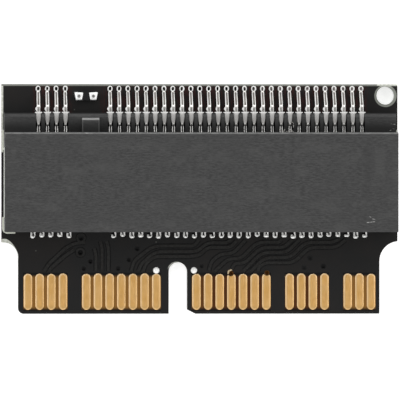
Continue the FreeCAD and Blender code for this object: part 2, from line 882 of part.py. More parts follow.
def build():
    """Make every sub-part. The numbers are how many separate solids each one holds."""
    lower_key, lower_main = row_starts(LOWER_ROW)
    upper_key, upper_main = row_starts(UPPER_ROW)
    short_count = sum(count for _, count in SHORT_BANK_RUNS)
    long_count = sum(count for _, count in LONG_BANK_RUNS)
    parts = [
        (circuit_board(), 1),
        (socket_housing(), 1),
        (lower_contacts("lower_contacts_key_side", lower_key, LOWER_ROW[0]), LOWER_ROW[0]),
        (lower_contacts("lower_contacts_main", lower_main, LOWER_ROW[1]), LOWER_ROW[1]),
        (upper_contacts("upper_contacts_key_side", upper_key, UPPER_ROW[0]), UPPER_ROW[0]),
        (upper_contacts("upper_contacts_main", upper_main, UPPER_ROW[1]), UPPER_ROW[1]),
        (front_solder("front_solder_key_side", lower_key, LOWER_ROW[0]), LOWER_ROW[0]),
        (front_solder("front_solder_main", lower_main, LOWER_ROW[1]), LOWER_ROW[1]),
        (rear_solder("rear_solder_key_side", upper_key, UPPER_ROW[0]), UPPER_ROW[0]),
        (rear_solder("rear_solder_main", upper_main, UPPER_ROW[1]), UPPER_ROW[1]),
        (hold_down("hold_down_left", LEFT), 1),
        (hold_down("hold_down_right", RIGHT), 1),
        (hold_down_solder("hold_down_solder_left", LEFT), 1),
        (hold_down_solder("hold_down_solder_right", RIGHT), 1),
        (resistor_body(), 1),
        (resistor_caps(), 2),
        (resistor_solder(), 2),
        (via_solder_plugs(), 2),
    ]
    for face, base in (("front", board_top - d.finger_thickness), ("back", None)):
        parts.append((finger_bank(f"{face}_fingers_short_bank", short_bank_start,
                                  SHORT_BANK_RUNS, base), short_count))
        parts.append((finger_bank(f"{face}_fingers_long_bank", long_bank_start,
                                  LONG_BANK_RUNS, base), long_count))
    doc.recompute()
    return parts


def check(parts):
    """Stop before anything is written if a feature failed or a solid is missing."""
    for thing in doc.Objects:
        if "Invalid" in thing.State or "Error" in thing.State:
            raise RuntimeError(f"{thing.Name} failed: {thing.State}")
    for body, solids in parts:
        shape = body.Shape
        if shape.isNull() or not shape.isValid():
            raise RuntimeError(f"{body.Label} has no valid shape")
        if len(shape.Solids) != solids:
            raise RuntimeError(f"{body.Label} has {len(shape.Solids)} solids, not {solids}")


def export(parts):
    os.makedirs("parts", exist_ok=True)
    for body, _ in parts:
        body.Shape.exportStep(f"parts/{body.Label}.step")
        print(f"{body.Label}: {len(body.Shape.Solids)} solids, {body.Shape.Volume:.4f} mm3")


parts = build()
check(parts)
export(parts)
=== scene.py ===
import math
import random

import bmesh
import bpy
from mathutils import Matrix, Vector


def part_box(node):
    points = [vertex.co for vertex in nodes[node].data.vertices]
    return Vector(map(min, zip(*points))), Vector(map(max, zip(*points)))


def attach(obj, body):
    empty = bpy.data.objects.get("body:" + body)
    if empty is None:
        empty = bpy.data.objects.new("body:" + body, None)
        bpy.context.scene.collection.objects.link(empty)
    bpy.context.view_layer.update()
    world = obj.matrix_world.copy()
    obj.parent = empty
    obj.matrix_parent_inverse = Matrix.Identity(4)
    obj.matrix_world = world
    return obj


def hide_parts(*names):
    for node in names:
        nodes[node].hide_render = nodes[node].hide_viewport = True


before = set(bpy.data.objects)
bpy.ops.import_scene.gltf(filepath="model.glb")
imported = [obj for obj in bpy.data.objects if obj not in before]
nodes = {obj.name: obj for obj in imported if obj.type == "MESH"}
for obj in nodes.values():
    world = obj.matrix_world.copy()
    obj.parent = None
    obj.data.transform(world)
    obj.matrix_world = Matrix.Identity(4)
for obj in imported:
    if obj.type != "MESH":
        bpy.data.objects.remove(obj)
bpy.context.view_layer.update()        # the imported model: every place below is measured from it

mm = 0.001


def boxOf(*names):
    # the lowest and highest corners of some nodes together, in millimetres
    lows, highs = zip(*[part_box(name) for name in names])
    return (Vector([min(axis) for axis in zip(*lows)]) / mm,
            Vector([max(axis) for axis in zip(*highs)]) / mm)


def middleOf(*names):
    low, high = boxOf(*names)
    return (low + high) / 2


boardLow, boardHigh = boxOf("circuit_board")
housingHigh = boxOf("socket_housing")[1]
boardTop = boardHigh.z
roofTop = housingHigh.z
etched = 0.06        # the windows round the fingers lie less than this below either face


# shader building

def operator(operation):
    # a method that does one sum with a socket
    return lambda self, *others: self.maths(operation, self, *others)


class Wire:
    # one socket of a material, so that shader maths reads as plain expressions
    __add__ = __radd__ = operator("ADD")
    __sub__ = operator("SUBTRACT")
    __mul__ = __rmul__ = operator("MULTIPLY")
    __pow__ = operator("POWER")
    __or__ = operator("MAXIMUM")           # whichever of two masks is the stronger
    size = operator("ABSOLUTE")
    above = operator("GREATER_THAN")
    below = operator("LESS_THAN")

    def __init__(self, finish, socket):
        self.finish = finish
        self.socket = socket

    def maths(self, operation, first, *others):
        kind = "ShaderNodeMath"
        if self.socket.type == "VECTOR":
            kind = "ShaderNodeVectorMath"
        values = dict(enumerate((first,) + others))
        return self.finish.node(kind, {"operation": operation}, values)

    def __rsub__(self, other):
        return self.maths("SUBTRACT", other, self)

    def wrap(self, half):
        return self.maths("WRAP", self, half, -half)

    def ramp(self, low, high):
        # 0 below low and 1 above high, or the other way round if low is the larger
        return self.finish.node("ShaderNodeMapRange", {"interpolation_type": "SMOOTHSTEP"},
                                {"Value": self, "From Min": low, "From Max": high})

    def band(self, low, high, soft):
        # 1 between two levels
        return self.ramp(low - soft, low + soft) * self.ramp(high + soft, high - soft)


class Finish:
    # one material: a Principled shader and whatever feeds it
    def __init__(self, name, tones, constants):
        self.tones = tones
        self.material = bpy.data.materials.new(name)
        self.material.use_nodes = True
        self.tree = self.material.node_tree
        self.tree.nodes.clear()
        self.shader = self.tree.nodes.new("ShaderNodeBsdfPrincipled")
        surface = self.tree.nodes.new("ShaderNodeOutputMaterial")
        self.tree.links.new(self.shader.outputs[0], surface.inputs["Surface"])
        for socket, value in constants.items():
            self.put(socket, value)
        place = self.node("ShaderNodeTexCoord", output="Object")
        self.place = place * (1 / mm, 1 / mm, 1 / mm)
        self.axes = [self.node("ShaderNodeSeparateXYZ", None, {0: self.place}, axis)
                     for axis in range(3)]

    def feed(self, socket, value):
        # the value is another socket, the name of a tone, or a constant
        if isinstance(value, Wire):
            self.tree.links.new(value.socket, socket)
        elif isinstance(value, str):
            socket.default_value = paint(*self.tones[value])
        else:
            socket.default_value = value

    def put(self, socket, value):
        self.feed(self.shader.inputs[socket], value)

    def node(self, kind, settings=None, sockets=None, output=0):
        made = self.tree.nodes.new(kind)
        for name, value in (settings or {}).items():
            setattr(made, name, value)
        for name, value in (sockets or {}).items():
            self.feed(made.inputs[name], value)
        return Wire(self, made.outputs[output])

    def noise(self, perMm, detail=3, stretch=(1, 1, 1), roughness=0.55):
        place = self.place * stretch if stretch != (1, 1, 1) else self.place
        return self.node("ShaderNodeTexNoise", sockets={
            "Vector": place, "Scale": perMm, "Detail": detail, "Roughness": roughness,
        })

    def blend(self, mask, first, second):
        return self.node("ShaderNodeMix", {"data_type": "RGBA"},
                         {0: mask, 6: first, 7: second}, output=2)

    def layered(self, base, *coats):
        # each coat is a mask and the colour it lays over what is there
        for mask, colour in coats:
            base = self.blend(mask, base, colour)
        return base

    def rough(self, grain, least, spread):
        # roughness that runs with the grain
        self.put("Roughness", grain.ramp(0.2, 0.8) * spread + least)

    def colour(self, base, *coats):
        self.put("Base Color", self.layered(base, *coats))

    def bump(self, height, strength, distance):
        self.put("Normal", self.node("ShaderNodeBump", sockets={
            "Strength": strength, "Distance": distance * mm, "Height": height,
        }))

    def faceUp(self):
        # 1 on faces that look up or down, 0 on upright ones
        normal = self.node("ShaderNodeNewGeometry", output="Normal")
        up = self.node("ShaderNodeSeparateXYZ", sockets={0: normal}, output=2)
        return up.size().ramp(0.4, 0.8)

    def awayFrom(self, x, y):
        # distance in plan from one point
        across, along = self.axes[0] - x, self.axes[1] - y
        return (across * across + along * along) ** 0.5


def paint(red, green, blue):
    # a colour given as display values from 0 to 255
    def linear(value):
        value /= 255
        return value / 12.92 if value <= 0.04045 else ((value + 0.055) / 1.055) ** 2.4
    return linear(red), linear(green), linear(blue), 1.0


# mesh building, in millimetres

def addObject(name, data):
    made = bpy.data.objects.new(name, data)
    bpy.context.scene.collection.objects.link(made)
    return made


def weld(mesh, distance, outward=False):
    # joins corners that meet, and can turn every face outward
    tidy = bmesh.new()
    tidy.from_mesh(mesh)
    bmesh.ops.remove_doubles(tidy, verts=tidy.verts, dist=distance * mm)
    if outward:
        bmesh.ops.recalc_face_normals(tidy, faces=tidy.faces)
    tidy.to_mesh(mesh)
    tidy.free()


def circle(x, y, radius, height, steps):
    angles = [math.tau * turn / steps for turn in range(steps)]
    return [(x + radius * math.cos(angle), y + radius * math.sin(angle), height)
            for angle in angles]


class Shape:
    def __init__(self):
        self.points = []
        self.faces = []

    def loft(self, rings, startCap=True, endCap=True):
        # skins rings of equally many points, with a face over each end
        base = len(self.points)
        count = len(rings[0])
        for ring in rings:
            self.points.extend(Vector(point) for point in ring)
        for level in range(len(rings) - 1):
            for index in range(count):
                after = (index + 1) % count
                here = base + level * count
                self.faces.append((here + index, here + after,
                                   here + count + after, here + count + index))
        if startCap:
            self.faces.append(tuple(base + index for index in reversed(range(count))))
        if endCap:
            last = base + (len(rings) - 1) * count
            self.faces.append(tuple(last + index for index in range(count)))

    def swept(self, line, sections):
        # carries a section, given as distance across and height, along a level route
        rings = []
        for point, heading, section in zip(line, headings(line), sections):
            across = Vector((-heading.y, heading.x))
            rings.append([(*(point + across * reach), height) for reach, height in section])
        self.loft(rings)

    def turned(self, x, y, section, steps):
        # swings a section, given as distance out and height, right round a point
        circles = [circle(x, y, reach, height, steps) for reach, height in section]
        rings = list(zip(*circles))
        self.loft(rings + rings[:1], startCap=False, endCap=False)

    def mesh(self, name):
        made = bpy.data.meshes.new(name)
        made.from_pydata([point * mm for point in self.points], [], self.faces)
        return made

    def piece(self, name, finish, replaced=(), sharpest=40):
        mesh = self.mesh(name)
        mesh.validate()
        weld(mesh, 0.0001, outward=True)
        mesh.polygons.foreach_set("use_smooth", [True] * len(mesh.polygons))
        mesh.set_sharp_from_angle(angle=math.radians(sharpest))
        settle(addObject(name, mesh), finish, replaced)


def settle(made, finish, replaced=()):
    # gives a piece its finish and its place in the frame
    made.data.materials.clear()
    made.data.materials.append(finish.material)
    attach(made, "root")
    if replaced:
        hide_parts(*replaced)


def refinish(name, finish):
    # a node that keeps its own shape gets a better surface
    for slot in nodes[name].material_slots:
        slot.material = finish.material


def roundedRoute(corners, radius, steps=5):
    # a route through its corners, each turned along a short curve
    corners = [Vector(corner) for corner in corners]
    route = corners[:1]
    for before, corner, after in zip(corners, corners[1:], corners[2:]):
        reach = min(radius, (corner - before).length * 0.45, (after - corner).length * 0.45)
        start = corner + (before - corner).normalized() * reach
        end = corner + (after - corner).normalized() * reach
        for step in range(steps + 1):
            t = step / steps
            route.append(start * (1 - t) ** 2 + corner * 2 * t * (1 - t) + end * t ** 2)
    return route + corners[-1:]


def headings(route):
    # the direction of travel at each point of a route
    spans = zip([route[0]] + route[:-1], route[1:] + [route[-1]])
    return [(after - before).normalized() for before, after in spans]


# camera

cameraPlace = {
    "aim": (0.02, -0.059),       # middle of the view, on the board's top
    "foot": (-17.3, -0.059),     # where the camera stands over, a little left of the board
    "height": 434.0,
    "width": 22.3,               # what the view spans at the board's top
}


def placeCamera(own):
    data = bpy.data.cameras.new("camera")
    camera = addObject("camera", data)
    aim = Vector((*own["aim"], boardTop)) * mm
    camera.location = Vector((*own["foot"], boardTop + own["height"])) * mm
    away = camera.location - aim
    back = away.normalized()
    right = Vector((0, 1, 0)).cross(back).normalized()
    turned = Matrix((right, back.cross(right), back)).transposed()
    camera.rotation_euler = turned.to_euler()
    data.sensor_width = 36
    data.lens = data.sensor_width * away.length / (own["width"] * mm)
    data.clip_start = 0.01
    data.clip_end = 10
    bpy.context.scene.camera = camera


placeCamera(cameraPlace)
print("camera placed")


# studio

studio = {
    "sky": 0.5,
    "skyColour": (1.0, 1.0, 1.0, 1.0),
    "floorColour": (0.86, 0.86, 0.855, 1.0),
    "floorGlow": 0.62,
    "floorHalf": 0.4,            # metres
    "floorDrop": 0.01,           # below the board's underside, so that the two never touch
    # softboxes: which way they stand, how high in degrees, how brightly they shine
    "lamps": {
        "softboxLeft": ((-1, 0.1), 42, 2.4),
        "softboxRight": ((1, 0.1), 42, 2.2),
        "softboxFront": ((0, 1), 45, 2.2),
        "softboxRear": ((0, -1), 45, 2.2),
    },
    "lampAway": 0.34,
    "lampSize": 0.22,
}


def buildStudio(own):
    scene = bpy.context.scene
    scene.view_settings.view_transform = "Standard"
    world = bpy.data.worlds.new("studioSky")
    world.use_nodes = True
    background = world.node_tree.nodes["Background"]
    background.inputs["Color"].default_value = own["skyColour"]
    background.inputs["Strength"].default_value = own["sky"]
    scene.world = world

    half = own["floorHalf"]
    low = -own["floorDrop"] * mm
    mesh = bpy.data.meshes.new("floor")
    mesh.from_pydata([(-half, -half, low), (half, -half, low), (half, half, low),
                      (-half, half, low)], [], [(0, 1, 2, 3)])
    paper = Finish("floorPaper", own, {
        "Base Color": own["floorColour"], "Roughness": 0.9, "Specular IOR Level": 0.0,
        "Emission Strength": 1.0,
    })
    seen = [paper.node("ShaderNodeLightPath", output=name)
            for name in ("Is Camera Ray", "Is Glossy Ray", "Is Transmission Ray")]
    glow = (seen[0] | seen[1] | seen[2]) * own["floorGlow"]
    paper.put("Emission Color", paper.blend(glow, (0, 0, 0, 1), (1, 1, 1, 1)))
    mesh.materials.append(paper.material)
    addObject("floor", mesh)

    for name, (towards, rise, brightness) in own["lamps"].items():
        data = bpy.data.lights.new(name, "AREA")
        data.shape = "SQUARE"
        data.size = own["lampSize"]
        data.energy = brightness * math.pi * data.size ** 2
        lamp = addObject(name, data)
        rise = math.radians(rise)
        level = Vector((*towards, 0)).normalized() * math.cos(rise)
        lamp.location = (level + Vector((0, 0, math.sin(rise)))) * own["lampAway"]
        lamp.rotation_euler = lamp.location.to_track_quat("Z", "Y").to_euler()
        lamp.visible_camera = False


buildStudio(studio)
print("studio lit")


# circuit board

board = {
    # tones are display values from 0 to 255, here and below
    "mask": (25, 25, 25),
    "maskWarm": (29, 27, 26),
    # the mask's own dark in the windows, and painted shade beside the copper runs
    "darkMaskAndShade": (9, 9, 9),
    "copperUnderMask": (43, 43, 42),
    "laminate": (206, 208, 200),
    "laminateDark": (168, 170, 158),
    "laminateEdge": (172, 176, 168),
    "clothPale": (92, 88, 66),
    "clothDark": (58, 54, 42),
    "ringPale": (124, 127, 120),
    # painted shade deep in the tented holes
    "dimpleShade": (6, 6, 6),
    # painted grey shade along the board's top edge
    "shadedTopEdge": (118, 120, 114),
    "windowFloor": (124, 86, 36),
    "windowDeep": (72, 37, 3),
    "maroon": (52, 22, 20),
    "specular": 0.15,
    # the row of front joints: where it starts, its two ends, and its gap beside the key
    "jointFront": 4.6,
    "jointRow": (-9.3, 9.35),
    "jointGap": (-7.15, -5.5),
    # the windows round the fingers: their top edge, the lit part and the stained part
    "windowTop": -4.0,
    "windowLit": (-6.1, -4.32),
    "windowStained": (-0.1, 7.1),
    # how far the mask stops short of the board's edges
    "edgeTop": 0.085,
    "edgeLeft": 0.09,
    "holeRing": 0.115,
    "hole": (0.67, 0.63, 0.5),          # in from the right and the top, then the radius
    "relief": (-10.936, -3.25, 0.82),   # the cut-away beside the tongue: middle, radius
    "notch": (-1.237, -4.06, 0.52),     # the round end's middle and radius
    "specks": ((-9.13, -2.89), (-2.43, -2.4), (3.78, -2.99), (-6.98, 4.98)),
    # tented holes: across, along, radius, how far the mask sags
    "tentedVias": (
        (-6.61, -2.17, 0.13, 0.05), (-6.65, -2.98, 0.13, 0.08), (-6.09, -3.48, 0.12, 0.08),
        (-6.45, -3.89, 0.11, 0.06), (-3.48, -2.76, 0.13, 0.06), (-3.95, -3.38, 0.12, 0.06),
        (-4.54, -3.87, 0.12, 0.06), (6.16, -3.27, 0.14, 0.04), (5.84, -3.83, 0.12, 0.04),
        (6.91, -3.75, 0.13, 0.06), (0.12, -3.74, 0.1, 0.05),
    ),
    # the sagging skin, from its rim in: share of the radius, height, share of the sag
    "skin": ((1.3, -0.002, 0), (1.28, 0.0025, 0), (1.08, 0.0015, 0), (0.95, -0.01, 0),
             (0.8, 0, 0.5), (0.5, 0, 0.85), (0.2, 0, 1)),
    "ringedVias": ((-6.65, -2.98, 0.14), (-6.61, -2.17, 0.14)),
    # plated holes in the tops of two fingers: the hole, then the ring's shift and radius
    "openVias": ((1.76, -4.14, -0.02, 0.02, 0.19), (3.76, -4.12, -0.01, 0.01, 0.175)),
    "openRadius": 0.135,
    "openDepth": 0.6,
}


def bareLaminate(finish, own):
    # masks for the bare cloth where the mask stops short: all of it, round the corner
    # hole, and along the top, where the strip is painted grey as shade
    x, y = finish.axes[:2]
    insetAcross, insetAlong, holeRadius = own["hole"]
    holeX, holeY = boardHigh.x - insetAcross, boardHigh.y - insetAlong
    ring = holeRadius + own["holeRing"]
    hole = finish.awayFrom(holeX, holeY - 0.02).ramp(ring + 0.02, ring - 0.03)
    edge = boardHigh.y - own["edgeTop"]
    top = y.ramp(edge - 0.03, edge + 0.01)
    edge = boardLow.x + own["edgeLeft"]
    left = x.ramp(edge + 0.03, edge - 0.01) * y.above(2.6)

    # a band round the left relief: it thins towards the tongue
    middleX, middleY, radius = own["relief"]
    thickness = x.ramp(middleX + radius * 0.95, middleX + 0.1) * 0.2
    relief = (finish.awayFrom(middleX, middleY) - thickness).ramp(radius + 0.02, radius)
    relief = relief * y.above(middleY) * x.above(middleX)
    shoulder = y.band(middleY, middleY + radius + 0.2, 0.012) * x.below(middleX)
    relief = (relief | shoulder) * x.below(middleX + 1)

    # a thin crescent over the notch, towards the left, and a few specks
    middleX, middleY, radius = own["notch"]
    crescent = finish.awayFrom(middleX - 0.045, middleY + 0.04)
    crescent = crescent.ramp(radius + 0.012, radius - 0.006)
    crescent = crescent * y.ramp(middleY + 0.1, middleY + 0.3)
    for speckX, speckY in own["specks"]:
        crescent = crescent | finish.awayFrom(speckX, speckY).ramp(0.05, 0.01) * 0.25
    bare = top | left | hole | relief | crescent * 0.6
    ringLow = hole * y.ramp(holeY + 0.6, holeY + 0.4)
    ringEdge = finish.awayFrom(holeX, holeY).below(holeRadius + 0.05)
    return bare, ringLow, top * x.below(9.9), ringEdge


def boardFinish(own):
    finish = Finish("boardMask", own, {"Specular IOR Level": own["specular"]})
    x, y, z = finish.axes
    up = finish.faceUp()
    grain = finish.noise(9, detail=4)
    patch = finish.noise(0.5, detail=2)
    mask = finish.blend(patch.ramp(0.35, 0.7), "mask", "maskWarm")

    # a painted red reflection lies in streaks between the front joints
    streaks = finish.noise(5, detail=3, stretch=(3.2, 0.35, 1))
    inRow = y.above(own["jointFront"]) * x.band(*own["jointRow"], 0.1)
    inRow = inRow * z.above(boardTop - etched)
    inRow = inRow * (1 - x.band(*own["jointGap"], 0.2))
    mask = finish.blend(streaks.ramp(0.42, 0.62) * inRow * 0.75, mask, "maroon")

    bare, ringLow, shadedTopEdge, ringEdge = bareLaminate(finish, own)
    cloth = finish.blend(grain.ramp(0.3, 0.75), "laminate", "laminateDark")
    # the strip along the top edge is painted grey as shade
    cloth = finish.layered(cloth, (ringLow, "ringPale"), (shadedTopEdge, "shadedTopEdge"))

    # the windows round the edge fingers have a brown floor between the fingers
    window = finish.blend(x.band(*own["windowStained"], 0.6), "windowFloor", "windowDeep")
    window = finish.blend(y.band(*own["windowLit"], 0.12), "darkMaskAndShade", window)
    inWindow = z.below(boardTop - 0.02) * z.above(boardTop - etched)
    inWindow = (inWindow | z.above(0.02) * z.below(etched)) * y.below(own["windowTop"])
    top = finish.layered(mask, (bare, cloth), (inWindow * up, window))

    # sawn sides: layered glass cloth
    layers = finish.noise(14, detail=2, stretch=(0.15, 0.15, 1.6))
    side = finish.blend(layers.ramp(0.35, 0.65), "clothPale", "clothDark")
    finish.colour(side, (ringEdge, "laminateEdge"), (up, top))
    finish.rough(grain, 0.4, 0.12)
    finish.bump(finish.noise(3.5, detail=5), 0.2, 0.02)
    return finish


def buildBoard(own, finish):
    mesh = nodes["circuit_board"].data.copy()
    made = addObject("masked_board", mesh)
    weld(mesh, 0.0005)
    cutter = Shape()
    holes = [(x, y, radius + 0.01, sag + 0.02) for x, y, radius, sag in own["tentedVias"]]
    holes += [(x, y, own["openRadius"] + 0.012, own["openDepth"])
              for x, y, *ring in own["openVias"]]
    for x, y, radius, depth in holes:
        cutter.loft([circle(x, y, radius, height, 18)
                     for height in (boardTop - depth, boardTop + 0.1)])
    tool = addObject("via_cutter", cutter.mesh("via_cutter"))
    cut = made.modifiers.new("vias", "BOOLEAN")
    cut.object = tool
    cut.operation = "DIFFERENCE"
    cut.solver = "EXACT"
    bpy.context.view_layer.update()
    graph = bpy.context.evaluated_depsgraph_get()
    made.data = bpy.data.meshes.new_from_object(made.evaluated_get(graph))
    made.modifiers.clear()
    bpy.data.objects.remove(tool)
    settle(made, finish, ["circuit_board"])


def buildDimples(own):
    # the mask sags into each tented hole, and its deeper part is painted black as shade
    finish = Finish("saggedMask", own, {"Roughness": 0.5, "Specular IOR Level": 0.1})
    deep = finish.axes[2].ramp(boardTop, boardTop - 0.06)
    finish.colour("mask", (deep, "dimpleShade"))
    shape = Shape()
    for x, y, radius, sag in own["tentedVias"]:
        shape.loft([circle(x, y, radius * share, boardTop + height - sag * depth, 20)
                    for share, height, depth in own["skin"]], startCap=False)
    shape.piece("tented_dimples", finish, sharpest=60)


buildBoard(board, boardFinish(board))
buildDimples(board)
print("board drilled")


# copper under the mask

traces = {
    "width": 0.15,
    "flange": 0.075,
    "rise": 0.02,
    "turn": 0.4,
    "ringWidth": 0.09,
    # every visible run of copper, from the socket's rear tails down to the fingers
    "runs": (
        # over the notch, then right and up to the tails
        ((-0.05, -2.28), (-0.3, -2.62), (-2.6, -2.62), (-3.65, -3.43), (-3.82, -4.02)),
        ((1.78, -2.28), (1.5, -2.44), (0.42, -2.44), (-0.12, -2.93), (-2.5, -2.94),
         (-3.25, -3.62), (-3.42, -4.02)),
        ((2.06, -2.34), (1.72, -2.7), (0.42, -2.7), (0.0, -3.14), (-0.6, -3.21),
         (-2.52, -3.21), (-3.0, -3.6), (-3.15, -4.02)),
        ((2.56, -2.3), (1.86, -3.04), (1.15, -3.07), (0.64, -3.5), (0.52, -4.02)),
        # left pair, swept round to the short bank
        ((-6.38, -2.44), (-6.95, -2.46), (-7.45, -2.72), (-8.4, -3.6), (-8.66, -4.02)),
        ((-7.0, -2.83), (-7.5, -3.16), (-8.3, -3.86), (-8.36, -4.0)),
        # right fan: each run steps left in two slants
        ((4.57, -2.28), (4.44, -2.41), (3.22, -2.41), (2.3, -3.33), (1.6, -3.33),
         (0.86, -4.02)),
        ((5.158, -2.28), (4.74, -2.698), (3.42, -2.698), (2.52, -3.568), (1.95, -3.598),
         (1.8, -3.9)),
        ((5.566, -2.28), (4.86, -2.986), (3.48, -2.986), (2.446, -4.02)),
        ((7.76, -2.28), (7.36, -2.42), (5.914, -2.42), (5.06, -3.274), (3.62, -3.274),
         (2.874, -4.02)),
        ((8.14, -2.28), (7.62, -2.7), (6.102, -2.7), (5.24, -3.562), (3.66, -3.562),
         (3.3, -3.8), (3.28, -4.02)),
    ),
    # upright bundle: where each run stands, and its top
    "bundle": ((-5.78, -2.75), (-5.44, -2.35), (-5.09, -2.35)),
}


def buildTraces(own, finish):
    shape = Shape()
    # half of a run's section, from the outside in: flange, step, crest
    half, flange = own["width"] / 2, own["width"] / 2 + own["flange"]
    halves = ((flange, -0.003), (flange - 0.008, 0.002), (half + 0.006, 0.003),
              (half, own["rise"]))
    section = [(-reach, up) for reach, up in halves] + list(reversed(halves))
    upright = tuple(((across - 0.1, top), (across, top - 0.4), (across, -4.02))
                    for across, top in own["bundle"])
    for number, route in enumerate(own["runs"] + upright):
        line = roundedRoute(route, own["turn"])
        level = boardTop + 0.0002 * (number % 3)
        shape.swept(line, [[(reach, level + up) for reach, up in section]] * len(line))
    for x, y, radius in board["ringedVias"]:
        inner = radius + 0.03
        outer = inner + own["ringWidth"]
        section = ((outer + 0.05, -0.003), (outer + 0.045, 0.002), (outer, 0.003),
                   (outer - 0.006, own["rise"]), (inner, own["rise"]),
                   (inner - 0.006, -0.003))
        shape.turned(x, y, [(reach, boardTop + up + 0.0006) for reach, up in section], 24)
    shape.piece("mask_over_copper", finish, sharpest=20)


def traceFinish(own):
    finish = Finish("copperUnderMask", own, {"Specular IOR Level": 0.1})
    grain = finish.noise(9, detail=4)
    crest = finish.blend(grain.ramp(0.25, 0.8), "copperUnderMask", "maskWarm")
    # the raised crest is the lighter copper under the mask; the low flange beside each run is
    # painted dark as shade
    high = finish.axes[2].ramp(boardTop + 0.006, boardTop + 0.016)
    low = finish.blend(grain.ramp(0.3, 0.7), "darkMaskAndShade", "mask")
    finish.colour(low, (high, crest))
    finish.rough(grain, 0.36, 0.1)
    finish.bump(finish.noise(3.5, detail=5), 0.2, 0.02)
    return finish


buildTraces(traces, traceFinish(board))
print("copper runs laid")


# edge fingers

fingers = {
    "pitch": 0.65,
    "shortRuns": ((0, 4), (5, 7)),
    "longRuns": ((0, 7), (8, 4), (13, 3)),
    "proud": 0.004,
    "lift": 0.04,
    # from the board up: how far in, and how far below the top; the first is at the foot
    "profile": ((0.0, None), (0.0, 0.014), (0.02, 0.006), (0.055, 0.0015), (0.085, 0.0)),
    "topSteps": 28,
    "bottomSteps": 12,
    "rimWidth": 0.085,
    # where the painted rim highlight grows stronger along each finger
    "rimHighlightFade": (-4.75, -4.3),
    "dullEnd": (-5.85, -6.2),
    "gold": (234, 188, 122),
    "goldDeep": (226, 176, 104),
    "goldWarm": (226, 168, 104),
    # painted highlight on the finger rims
    "goldRimHighlight": (238, 206, 160),
    "goldDull": (206, 166, 108),
    "goldEdge": (120, 84, 44),
    "goldFoot": (92, 52, 20),
}


def bitten(top, middle, reach):
    # takes a round bite out of an outline where a plated hole breaks into it
    kept = [point for point in top if (point - middle).length > reach]
    rightSide = [point for point in kept if point.x > middle.x]
    leftSide = [point for point in kept if point.x <= middle.x]
    start, end = rightSide[-1] - middle, leftSide[0] - middle
    first, last = math.atan2(start.y, start.x), math.atan2(end.y, end.x)
    while last > first:
        last -= math.tau
    spare = len(top) - len(kept)
    angles = [first + (last - first) * (step + 0.5) / spare for step in range(spare)]
    arc = [middle + Vector((math.cos(angle), math.sin(angle))) * reach for angle in angles]
    return rightSide + arc + leftSide


def capsule(own, x, low, high, inset, height, ragged, bite):
    # a round-ended outline, anticlockwise from the right-hand side
    radius = own["radius"]
    inner = radius - inset
    top = []
    for step, wobble in enumerate(ragged):
        angle = math.pi * step / own["topSteps"]
        top.append(Vector((x + inner * math.cos(angle),
                           high - radius + (inner - wobble) * math.sin(angle))))
    if bite:
        top = bitten(top, Vector(bite), board["openRadius"] + inset * 0.5)
    points = [(*point, height) for point in top]
    for step in range(own["bottomSteps"] + 1):
        angle = math.pi + math.pi * step / own["bottomSteps"]
        points.append((x + inner * math.cos(angle),
                       low + radius + inner * math.sin(angle), height))
    return points


def buildFingers(own, finish):
    dice = random.Random(12)
    steps = own["topSteps"]
    for front, bank in ((True, "short"), (True, "long"), (False, "short"), (False, "long")):
        face = "front" if front else "back"
        node = f"{face}_fingers_{bank}_bank"
        low, high = boxOf(node)
        inside, outside = (low.z, high.z + own["proud"]) if front else (high.z, low.z)
        shape = Shape()
        for index in [start + place for start, count in own[f"{bank}Runs"]
                      for place in range(count)]:
            x = low.x + own["radius"] + index * own["pitch"]
            short = dice.choice((0, 0, 0.01, 0.02, 0.03))
            ragged = [dice.uniform(0, 0.02) * math.sin(math.pi * step / steps)
                      for step in range(steps + 1)]
            bites = [(holeX, holeY) for holeX, holeY, *ring in board["openVias"]
                     if front and abs(holeX - x) < 0.2]
            bite = bites[0] if bites else None
            top = high.y if bite else high.y - short
            rings = []
            for inset, drop in own["profile"]:
                height = inside
                if drop is not None:
                    height = outside - drop if front else outside + drop
                rings.append(capsule(own, x, low.y + own["lift"], top, inset,
                                     height, ragged, bite))
            shape.loft(rings)
        shape.piece(f"{face}_gold_{bank}", finish, [node], 50)


